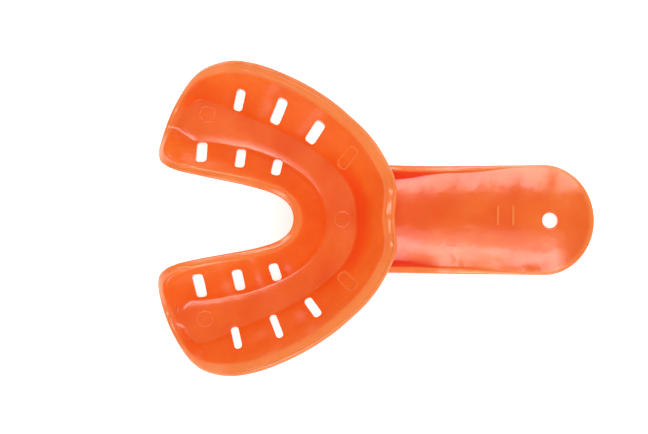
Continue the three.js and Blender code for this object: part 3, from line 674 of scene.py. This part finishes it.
def build_arch():
    half = smooth_rows(SECTIONS, ARCH_STEPS)
    rows = list(half) + [row * MIRROR for row in half[1:-1][::-1]]
    sections = [arch_section(row) for row in rows]
    net = Net()
    top = [[net.add(p) for p in s[0]] for s in sections]
    under = [[net.add(p) for p in s[1]] for s in sections]
    for j in range(len(sections)):
        following = (j + 1) % len(sections)
        net.strip(top[j], top[following], TOP, flip=False)
        net.strip(under[j], under[following], UNDER, flip=True)
    plan_fill(net, [row[-1] for row in top], FLOOR_TOP, upward=True, step=0.8)
    plan_fill(net, [row[-1] for row in under], OTHER, upward=False, step=1.0)
    soften_heels(net, np.array([net.verts[row[0]][:2] for row in top]))
    raise_ridges(net)
    for slot in SLOTS:
        through_hole(net, partial(slot_outline, *slot), edge_r=0.22, steps=4, margin=0.2,
                     taper=0.05)
    for place in POCKETS:
        pocket(net, partial(slot_outline, *place), depth=0.6, edge_r=0.42, margin=0.2)
    return net


# ------------------------------------------------------------------ the handle
def rail_top(x):
    return 4.9 + 1.1 * (1 - smooth(27, 48, x)) + 4.4 * (1 - smooth(9, 29, x)) ** 1.2


def half_width(x):
    return lerp(HALF_ROOT, HALF_END, clamp((x - TAPER_X) / TAPER, 0, 1))


def handle_profile(x, reach, tip):
    """Half a section of the handle, as top and underside.

    Points are (distance inwards from the outline, height, paleness) and end at reach. tip goes
    from 0 to 1 round the end."""
    thin = smooth(27, 46, x)                     # the rail narrows towards the end
    rail = lerp(RAIL_W, RAIL_END_W, thin)
    rail_z, dish_z = rail_top(min(x, 52)) - 0.1 * thin, DISH_EDGE_Z - 0.02 * thin
    bottom_z = DISH_EDGE_Z - DISH_T
    foot = lerp(3.1, RAIL_W + 0.1, smooth(13, 28, x))      # inner foot of the rail
    foot = max(lerp(foot, rail + 0.08, max(thin, tip)), rail + 0.08)
    step = max(rail_z - dish_z, 0.02)

    def dish(middle_z):
        points = []
        for i in range(1, DISH_STEPS + 1):
            v = 1 - i / DISH_STEPS
            points.append(vec(lerp(foot, reach, i / DISH_STEPS),
                              middle_z + (dish_z - DISH_Z) * v * v))
        return points

    side = vec(0, (rail_z + bottom_z) / 2)
    bottom, inner = vec(0, bottom_z), dish(DISH_Z)
    outer_edge, rail_edge = vec(0, rail_z - 0.20 * rail), vec(rail, rail_z)
    foot_edge = vec(foot, dish_z)
    slope = inner[0] - foot_edge
    top = link_groups([
        [side],
        bend(bottom, outer_edge, rail_edge, 0.45, 0.22 * rail, 6),
        bend(outer_edge, vec(rail, rail_z - 0.02), foot_edge, 0.22 * rail,
             min(0.4, 0.45 * step), 6),
        bend(rail_edge, foot_edge, foot_edge + slope * 3, min(0.8, 0.45 * step),
             min(0.6, 0.8 * float(np.linalg.norm(slope))), 5),
        inner,
    ], [3, 2, 4, 1])
    under = link_groups([
        [side],
        bend(vec(0, rail_z), bottom, vec(foot, bottom_z), 0.8, min(0.8, 0.9 * foot), 7),
        [vec(foot, dish_z - DISH_T)],
        dish(DISH_Z - DISH_T),
    ], [3, 3, 1])
    neck = 1 - smooth(19, 31, x)

    def pale(p):
        """Painted light on the rails; painted shade, deep, on the inner faces beside the neck."""
        lip = (1 - smooth(0.3, 1.2, p[0] - 0.7 * rail)) * (1 - smooth(0.2, 2.4, rail_z - p[1]))
        neck_shade_paint = neck * smooth(0.85 * rail, 1.25 * rail, p[0]) \
            * (1 - smooth(foot + 0.2, foot + 1.6, p[0]))
        return lip * (1 - 0.9 * neck_shade_paint) - neck_shade_paint

    return [[np.append(p, pale(p)) for p in half] for half in (top, under)]


def plain_section(x):
    half = half_width(x)
    return [[(x, half - p[0], p[1] + BASE_Z, p[2]) for p in points]
            for points in handle_profile(x, half, 0.0)]


def nose_section(t):
    """A section from the round end to the centre of its curve; t goes from 0 to 1, the tip."""
    angle = math.pi / 2 * (1 - t)
    x, y = NOSE_X + NOSE * math.cos(angle), HALF_END * math.sin(angle)
    if t == 1:
        x, y = NOSE_X + NOSE, 0.0
    reach = math.hypot(x - NOSE_X, y)
    dir_x, dir_y = (NOSE_X - x) / reach, -y / reach
    return [[(x + dir_x * p[0], y + dir_y * p[0], p[1] + BASE_Z, p[2]) for p in points]
            for points in handle_profile(x, reach, smooth(0, 1, t))]


def front_wall(arch):
    """A function giving the x of the outer face of the front wall at (y, z)."""
    verts = np.array(arch.verts)

    def on_front(face):
        x, y, z = verts[face[0]]
        return x > 0 and abs(y) < 19 and z < 13.5

    wall = Surface(verts[:, [1, 2, 0]],
                   [f for f, tag in zip(arch.faces, arch.tags) if tag == UNDER and on_front(f)])
    found = {}

    def wall_x(y, z):
        # places that round to the same micron share the first value found
        key = (round(abs(y), 3), round(z, 3))
        if key not in found:
            found[key] = wall.at(abs(y), max(z, 0.35))
        return found[key]

    return wall_x


def root_section(wall_x, gap=None, mix=None):
    """A section that follows the front wall at a distance gap, with the root fillet, or lies
    a share mix of the way from the last of these to the first plain section."""
    section = []
    flare = 0.0
    if gap is not None and gap < ROOT_FILLET:
        drop = ROOT_FILLET * ROOT_FILLET - (ROOT_FILLET - max(gap, 0.0)) ** 2
        flare = min(ROOT_FILLET - math.sqrt(max(drop, 0)), ROOT_FILLET * 0.62)
    count = [len(half) for half in handle_profile(JOIN_X, HALF_ROOT, 0.0)]
    for half, sign in ((0, 1), (1, -1)):
        points = []
        for i in range(count[half]):
            x = 12.5
            for _ in range(3):       # x depends on the profile, and the profile on x
                width = half_width(x)
                inwards, z, pale = handle_profile(x, width, 0.0)[half][i]
                y = width - inwards
                if gap is None:
                    x = lerp(wall_x(y, z) + ROOT_STEPS[-1], JOIN_X, mix)
                    continue
                if inwards < 0.4:
                    y += flare
                else:
                    z += sign * flare
                x = wall_x(y, z) + gap
            points.append((x, y, z + BASE_Z, pale))
        section.append(points)
    return section


def close_root(net, top, under):
    """Closes the end of the handle inside the front wall."""
    loop = top[0][:-1] + top[-1][::-1] + under[-1][1:] + under[0][::-1][1:-1]
    points = [Vector(net.verts[i][1:]) for i in loop]
    triangles, centres = triangulate(points, (len(loop),), upward=False, gap=1e-7, least=1e-12)
    polygon = np.array([(p.x, p.y) for p in points])
    for triangle, distance in zip(triangles, signed_distance(centres, polygon)):
        if distance < 0:
            net.face([loop[i] for i in triangle])


def build_handle(arch):
    wall_x = front_wall(arch)
    rows = [root_section(wall_x, gap=gap) for gap in ROOT_STEPS]
    rows += [root_section(wall_x, mix=i / MIX_STEPS) for i in range(1, MIX_STEPS)]
    rows += [plain_section(lerp(JOIN_X, NOSE_X, i / PLAIN_STEPS)) for i in range(PLAIN_STEPS + 1)]
    rows += [nose_section(i / NOSE_STEPS) for i in range(1, NOSE_STEPS + 1)]
    rows += [[[(x, -y, z, pale) for x, y, z, pale in half] for half in row]
             for row in rows[:-1][::-1]]
    net = Net()
    top = [[net.add(p) for p in row[0]] for row in rows]
    under = [[net.add(p) for p in row[1]] for row in rows]
    for j in range(len(rows) - 1):
        net.strip(top[j], top[j + 1], TOP, flip=True)
        net.strip(under[j], under[j + 1], UNDER, flip=False)
    close_root(net, top, under)
    through_hole(net, lambda grow: round_outline(HOLE_X, HOLE_Y, HOLE_R + grow, 64),
                 edge_r=0.3, steps=5, margin=0.3)
    return net


# ------------------------------------------------------------------ nets to Blender objects
def closed_skin(faces):
    """The largest set of faces joined two by two over their edges; drops slivers at cuts."""
    sharing = {}
    for i, face in enumerate(faces):
        for a, b in zip(face, list(face[1:]) + [face[0]]):
            sharing.setdefault((a, b) if a < b else (b, a), []).append(i)
    parent = list(range(len(faces)))

    def root(i):
        while parent[i] != i:
            parent[i] = parent[parent[i]]
            i = parent[i]
        return i

    for pair in sharing.values():
        if len(pair) == 2:
            a, b = root(pair[0]), root(pair[1])
            if a != b:
                parent[max(a, b)] = min(a, b)
    size = {}
    for i in range(len(faces)):
        size[root(i)] = size.get(root(i), 0) + 1
    main = max(sorted(size), key=lambda k: size[k])
    return [face for i, face in enumerate(faces) if root(i) == main]


def everywhere(p):
    return 1.0


def wave(p, scale, seed):
    return noise.noise(Vector((p[0] * scale + seed, p[1] * scale - seed, p[2] * scale + 2 * seed)))


def link_object(name, data):
    obj = bpy.data.objects.new(name, data)
    bpy.context.scene.collection.objects.link(obj)
    return obj


def to_object(net, name, material, sway=(), seed=0.0, amount=everywhere):
    """sway lists slow unevenness along the normals: height in mm, waves per mm, weight(p).

    amount(p) scales all of it."""
    mesh = bpy.data.meshes.new(name)
    faces = closed_skin(net.faces)
    used = sorted({v for face in faces for v in face})
    index = {v: i for i, v in enumerate(used)}
    places = [net.verts[v] for v in used]
    mesh.from_pydata([(x * MM, y * MM, z * MM) for x, y, z in places], [],
                     [[index[v] for v in face] for face in faces])
    mesh.update()
    normals = [v.normal.copy() for v in mesh.vertices]
    if sway:
        for vertex, normal, p in zip(mesh.vertices, normals, places):
            shift = sum(height * wave(p, scale, seed + 7.3 * i) * weight(p)
                        for i, (height, scale, weight) in enumerate(sway))
            vertex.co = vertex.co + normal * (shift * amount(p) * MM)
    # the painted light of each vertex goes to the attribute edge, which the material reads
    attribute = mesh.attributes.new("edge", "FLOAT", "POINT")
    attribute.data.foreach_set("value", [net.pale[v] for v in used])
    mesh.polygons.foreach_set("use_smooth", [True] * len(mesh.polygons))
    mesh.update()
    obj = link_object(name, mesh)
    mesh.materials.append(material)
    return obj


# ------------------------------------------------------------------ materials
class Graph:
    """The emptied node tree of a material or world."""

    def __init__(self, owner):
        owner.use_nodes = True
        self.tree = owner.node_tree
        self.tree.nodes.clear()

    def node(self, kind, inputs=None, **settings):
        """Adds a shader node; inputs are values, or sockets to link."""
        node = self.tree.nodes.new("ShaderNode" + kind)
        for name, value in settings.items():
            setattr(node, name, value)
        for key, value in (inputs or {}).items():
            if isinstance(value, bpy.types.NodeSocket):
                self.tree.links.new(value, node.inputs[key])
            else:
                node.inputs[key].default_value = value
        return node

    def out(self, kind, inputs=None, **settings):
        return self.node(kind, inputs, **settings).outputs[0]

    def noise(self, place, scale, detail, roughness=0.55, distortion=0.0):
        return self.out("TexNoise", {"Vector": place, "Scale": scale, "Detail": detail,
                                     "Roughness": roughness, "Distortion": distortion})

    def remap(self, value, source, target, **settings):
        return self.out("MapRange", {
            "Value": value, "From Min": source[0], "From Max": source[1],
            "To Min": target[0], "To Max": target[1]}, **settings)

    def math(self, operation, a, b, use_clamp=False):
        return self.out("Math", {0: a, 1: b}, operation=operation, use_clamp=use_clamp)

    def mix(self, factor, first, second):
        colours = [(*c, 1) if isinstance(c, tuple) else c for c in (first, second)]
        return self.node("Mix", {"Factor": factor, 6: colours[0], 7: colours[1]},
                         data_type="RGBA").outputs[2]


def plastic(name, tint, roughness, offset, waviness):
    """Glossy plastic; offset moves its patterns, waviness adds to its slow bumps."""
    material = bpy.data.materials.new(name)
    graph = Graph(material)
    geometry = graph.node("NewGeometry")
    place = graph.out("VectorMath", {0: geometry.outputs["Position"],
                                     1: (offset, offset * 0.7, -offset)}, operation="ADD")

    def pattern(source, target, **noise_values):
        return graph.remap(graph.noise(place, **noise_values), source, target)

    def shade(red, green, blue):
        return tint[0] * red, tint[1] * green, tint[2] * blue

    # slow colour change over about 13 mm, then finer flow marks
    cloud = pattern((0.35, 0.65), (0.0, 1.0), scale=75, detail=3)
    colour = graph.mix(cloud, shade(0.955, 0.80, 0.75), shade(1.03, 1.22, 1.5))
    flow = pattern((0.42, 0.62), (0.0, 0.35), scale=260, detail=4, roughness=0.6, distortion=1.2)
    colour = graph.mix(flow, colour, shade(1.0, 0.9, 0.8))
    # worn, paler edges where the surface is convex
    wear = pattern((0.45, 0.7), (0.0, 1.0), scale=900, detail=4)
    convex = graph.remap(geometry.outputs["Pointiness"], (0.505, 0.56), (0.0, 1.0))
    wear_strength = 0.28
    worn = graph.math("MULTIPLY", graph.math("MULTIPLY", convex, wear), wear_strength)
    colour = graph.mix(worn, colour, shade(1.05, 2.3, 3.2))
    # painted light: rims, lips and marked spots are painted paler, standing in for light through
    # thin plastic and for highlights; painted shade makes spots deeper where the paleness is below
    # 0
    paleness = graph.node("Attribute", attribute_name="edge").outputs["Fac"]
    mottle = pattern((0.3, 0.7), (0.75, 1.0), scale=420, detail=3)
    rim_light_strength, rim_light_colour = 0.7, (0.97, 0.27, 0.065)
    painted_rim_light = graph.math("MULTIPLY", graph.math("MULTIPLY", paleness, mottle), rim_light_strength,
                     use_clamp=True)
    colour = graph.mix(painted_rim_light, colour, rim_light_colour)
    # painted shade: a paleness below 0 deepens the colour
    depth = graph.math("MULTIPLY", paleness, -1.0, use_clamp=True)
    colour = graph.mix(depth, colour, shade(1.0, 0.42, 0.7))

    # uneven gloss, with fine scratches from stretched noise
    gloss = pattern((0.3, 0.7), (roughness - 0.045, roughness + 0.06),
                    scale=140, detail=4, roughness=0.6)
    stretched = graph.out("Mapping", {"Vector": place, "Scale": (1, 14, 3),
                                      "Rotation": (0.2, 0.1, 0.6)})
    scratches = graph.remap(graph.noise(stretched, scale=420, detail=2, roughness=0.5),
                            (0.62, 0.72), (0.0, 0.10))
    # fine grain, then slow waves
    grain = graph.out("Bump", {"Distance": 0.00004, "Strength": 0.35,
                               "Height": graph.noise(place, scale=1500, detail=2)})
    waves = graph.noise(place, scale=170, detail=2, roughness=0.5, distortion=0.4)
    normal = graph.out("Bump", {"Distance": 0.0006, "Strength": 0.10 + waviness,
                                "Height": waves, "Normal": grain})
    surface = graph.out("BsdfPrincipled", {
        "Base Color": colour,
        "Roughness": graph.math("ADD", gloss, scratches),
        "IOR": 1.57,
        "Subsurface Weight": 0.0,
        "Subsurface Radius": (1.0, 0.30, 0.10),
        "Subsurface Scale": 0.0013,
        "Normal": normal,
    })
    graph.node("OutputMaterial", {"Surface": surface})
    return material


def floor_material():
    """Matt near-white that also glows: more to the camera than to the object."""
    camera_glow, object_glow = 0.62, 0.40
    material = bpy.data.materials.new("studio_floor")
    graph = Graph(material)
    mottle = graph.remap(graph.out("TexNoise", {"Scale": 30}), (0.0, 1.0), (0.93, 0.96))
    diffuse = graph.out("BsdfDiffuse", {"Color": mottle})
    seen = graph.node("LightPath").outputs["Is Camera Ray"]
    glow = graph.remap(seen, (0.0, 1.0), (object_glow, camera_glow))
    emission = graph.out("Emission", {"Color": (1, 1, 1, 1), "Strength": glow})
    graph.node("OutputMaterial", {"Surface": graph.out("AddShader", {0: diffuse, 1: emission})})
    return material


# ------------------------------------------------------------------ the two main pieces
arch_net = build_arch()
handle_net = build_handle(arch_net)

arch_plastic = plastic("orange_plastic_arch", tint=(0.92, 0.155, 0.015), roughness=0.17,
                       offset=0.0, waviness=0.0)
handle_plastic = plastic("orange_plastic_handle", tint=(0.90, 0.140, 0.015), roughness=0.16,
                         offset=0.31, waviness=0.05)

ARCH_SWAY = ((0.035, 0.11, everywhere), (0.008, 0.33, everywhere))
HANDLE_SWAY = (
    (0.075, 0.10, everywhere), (0.036, 0.24, everywhere), (0.009, 0.55, everywhere),
    (0.011, 0.62, lambda p: 1 - smooth(-9, 1, p[1])),      # on the -y side only
)
arch = to_object(arch_net, "tray_arch", arch_plastic, sway=ARCH_SWAY, seed=3.0)
handle = to_object(handle_net, "tray_handle", handle_plastic, sway=HANDLE_SWAY, seed=11.0,
                   amount=lambda p: smooth(15, 22, p[0]))

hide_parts("arch_floor", "labial_flange", "buccal_flange_left", "buccal_flange_right",
            "lingual_flange", "heel_flange_left", "heel_flange_right", "labial_rim",
            "buccal_rim_left", "buccal_rim_right", "lingual_rim", "heel_rim_left",
            "heel_rim_right")
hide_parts("handle_neck", "handle_dish", "handle_rail_left", "handle_rail_right",
            "handle_end_rim")


# ------------------------------------------------------------------ raised marks
def ring_mark(name, node, broken):
    """A thin raised ring on the arch; a broken one varies in height and radius."""
    low, high = mm_box(node)
    centre_x, centre_y = (low[0] + high[0]) / 2, (low[1] + high[1]) / 2
    outer_r = (high[0] - low[0]) / 2
    base_z, height = low[2], high[2] - low[2]
    around, profile = 120, 14
    sunk, under_depth = 0.02, 0.10
    net = Net()
    loops = []
    for i in range(around):
        angle = 2 * math.pi * i / around
        cos, sin = math.cos(angle), math.sin(angle)
        swell, drift = 1.0, 0.0
        if broken:
            patch = noise.noise(Vector((cos * 2.6, sin * 2.6, 4.2)))
            swell = min(0.45 + 0.9 * smooth(-0.25, 0.35, patch), 1.25)
            drift = 0.10 * noise.noise(Vector((cos * 1.7, sin * 1.7, 8.1)))
        width = 0.19 * (1.0 + 0.25 * (swell - 1))
        middle_r = outer_r - 0.2 + drift
        loop = []
        for k in range(profile):
            t = 2 * math.pi * k / profile
            r, lift = middle_r + width * math.cos(t), math.sin(t)
            z = base_z - sunk + (height * swell if lift > 0 else under_depth) * lift
            # painted highlight: the top of the ring is painted paler
            loop.append(net.add((centre_x + r * cos, centre_y + r * sin, z,
                                 0.75 if lift > 0.3 else 0.0), False))
        loops.append(loop)
    net.tube(loops + [loops[0]])
    obj = to_object(net, name, arch_plastic)
    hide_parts(node)
    return obj


def bar_mark(name, node):
    """A raised bar with round ends, lying across the dish of the handle."""
    low, high = mm_box(node)
    centre_x, half = (low[0] + high[0]) / 2, (high[0] - low[0]) / 2
    start_y, end_y = low[1], high[1]
    height, end_r = 0.30, 0.45
    steps, profile = 48, 16
    sunk, under_depth = 0.03, 0.12
    dish_half = HALF_END - RAIL_W - 0.1
    net = Net()
    loops = []
    for i in range(steps + 1):
        y = lerp(start_y, end_y, i / steps)
        dish_z = DISH_Z + (DISH_EDGE_Z - DISH_Z) * (y / dish_half) ** 2 + BASE_Z
        inset = min(y - start_y, end_y - y)
        size = max(math.sqrt(max(0.0, 1 - (1 - min(inset, end_r) / end_r) ** 2)), 0.02)
        loop = []
        for k in range(profile):
            t = 2 * math.pi * k / profile
            cos, sin = math.cos(t), math.sin(t)
            # squarish half-round top, shallow underside sunk in the dish
            across, lift = (math.copysign(abs(c) ** 0.8, c) for c in (cos, sin))
            rise = (height + 0.05) * size * lift if sin > 0 else under_depth * lift * size
            # painted highlight: the top of the bar is painted paler
            loop.append(net.add((centre_x + half * size * across, y, dish_z - sunk + rise,
                                 1.1 if sin > 0.3 else 0.0), False))
        loops.append(loop)
    net.tube(loops)
    net.face(loops[0])
    net.face(loops[-1][::-1])
    obj = to_object(net, name, handle_plastic)
    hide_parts(node)
    return obj


pieces = [
    arch, handle,
    ring_mark("ejector_ring_left", "ejector_mark_left", broken=True),
    ring_mark("ejector_ring_right", "ejector_mark_right", broken=False),
    ring_mark("ejector_ring_front", "ejector_mark_front", broken=False),
    bar_mark("size_bar_1", "size_mark_bar_1"),
    bar_mark("size_bar_2", "size_mark_bar_2"),
]
for piece in pieces:
    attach(piece, "root")


# ------------------------------------------------------------------ stage, in metres
def build_floor(radius=6.0, sides=96, z=-0.0001):
    mesh = bpy.data.meshes.new("studio_floor")
    disc = [(x, y, z) for x, y in round_outline(0, 0, radius, sides)]
    mesh.from_pydata(disc, [], [list(range(sides))])
    floor = link_object("studio_floor", mesh)
    mesh.materials.append(floor_material())


# Softboxes, near (-y) and far (+y): name, x from, x to, y from, y to, radiance
NEAR_LIGHT, FAR_LIGHT = 5.6, 6.2
SOFTBOXES = [
    ("softbox_near_a", 0.14, 0.40, -0.90, -0.28, NEAR_LIGHT),
    ("softbox_near_b", 0.105, 0.139, -0.90, -0.37, NEAR_LIGHT),
    ("softbox_near_c", -0.02, 0.104, -0.92, -0.50, NEAR_LIGHT),
    ("softbox_near_d", -0.30, -0.021, -0.66, -0.27, NEAR_LIGHT * 0.9),
    ("softbox_far_a", 0.125, 0.72, 0.39, 0.55, FAR_LIGHT),
    ("softbox_far_b", -0.05, 0.124, 0.35, 1.0, FAR_LIGHT),
    ("softbox_far_skirt", -0.05, 0.20, 0.18, 0.345, FAR_LIGHT * 0.28),
]
SOFTBOX_Z = 0.9
MATT_SHARE = 0.60              # radiance of a softbox's twin, as a share of its own
# Oblique fills: name, x, y, width
FILLS = [("fill_near", 0.0, -1.3, 1.6), ("fill_far", 0.0, 1.3, 1.6),
         ("fill_heels", -1.35, 0.0, 1.2), ("fill_end", 1.35, 0.0, 1.2)]
FILL_Z, FILL_HEIGHT, FILL_WATTS = 0.62, 0.8, 2.0
FILL_TARGET = Vector((0.009, 0.0, 0.006))


def area_light(name, location, width, height, watts):
    """A white area light facing straight down, unseen by the camera."""
    light = bpy.data.lights.new(name, "AREA")
    light.shape = "RECTANGLE"
    light.size, light.size_y, light.energy, light.color = width, height, watts, (1, 1, 1)
    obj = link_object(name, light)
    obj.location = location
    obj.visible_camera = False
    return obj


def softbox(name, x0, x1, y0, y1, radiance):
    width, height = x1 - x0, y1 - y0
    return area_light(name, ((x0 + x1) / 2, (y0 + y1) / 2, SOFTBOX_Z), width, height,
                      watts=radiance * math.pi * width * height)


def build_lights():
    # each softbox is seen only in the gloss; a weaker twin lights the matt part of the plastic
    for name, *plan, radiance in SOFTBOXES:
        softbox(name, *plan, radiance).visible_diffuse = False
        softbox(name + "_matt", *plan, radiance * MATT_SHARE).visible_glossy = False
    # fill on the walls, kept out of the reflections
    for name, x, y, width in FILLS:
        fill = area_light(name, (x, y, FILL_Z), width, FILL_HEIGHT, FILL_WATTS)
        fill.rotation_mode = "QUATERNION"
        direction = FILL_TARGET - Vector((x, y, FILL_Z))
        fill.rotation_quaternion = direction.to_track_quat("-Z", "Y")
        fill.visible_glossy = False


def build_world():
    """White to the camera; in the gloss, pale near the horizon and darker overhead."""
    matt, horizon, overhead = 0.68, 0.75, 0.135
    world = bpy.data.worlds.new("studio")
    bpy.context.scene.world = world
    graph = Graph(world)
    rays = graph.node("LightPath").outputs
    direction = graph.node("TexCoord").outputs["Generated"]
    up = graph.node("SeparateXYZ", {0: direction}).outputs["Z"]
    gloss = graph.remap(up, (0.12, 0.62), (horizon, overhead), interpolation_type="SMOOTHSTEP")
    strength = graph.out("Mix", {0: rays["Is Glossy Ray"], 2: matt, 3: gloss},
                         data_type="FLOAT")
    white = (1, 1, 1, 1)
    lit = graph.out("Background", {"Color": white, "Strength": strength})
    backdrop = graph.out("Background", {"Color": white, "Strength": 1.0})
    surface = graph.out("MixShader", {0: rays["Is Camera Ray"], 1: lit, 2: backdrop})
    graph.node("OutputWorld", {0: surface})


def build_camera():
    """Looks almost straight down, tilted a little so that it stands towards -y."""
    distance, tilt = 0.480, math.radians(3.5)
    view_width = 0.164288955       # width in view at the aim
    aim = Vector((-0.0044076, 0.0000639, 0.016))
    data = bpy.data.cameras.new("camera")
    camera = link_object("camera", data)
    bpy.context.scene.camera = camera
    data.sensor_width = 36.0
    data.lens = distance / view_width * 36.0
    data.clip_start, data.clip_end = 0.01, 50
    camera.location = aim + Vector((0, -math.sin(tilt), math.cos(tilt))) * distance
    camera.rotation_euler = (tilt, 0, 0)


def set_render():
    scene = bpy.context.scene
    view, cycles = scene.view_settings, scene.cycles
    view.view_transform = "Standard"
    view.look = "None"
    view.exposure = 0.0
    view.gamma = 1.0
    cycles.max_bounces = 10
    cycles.diffuse_bounces = 5
    cycles.glossy_bounces = 4
    cycles.transparent_max_bounces = 8
    cycles.use_denoising = True
    cycles.caustics_reflective = False
    cycles.seed = 7


build_floor()
build_lights()
build_world()
build_camera()
set_render()
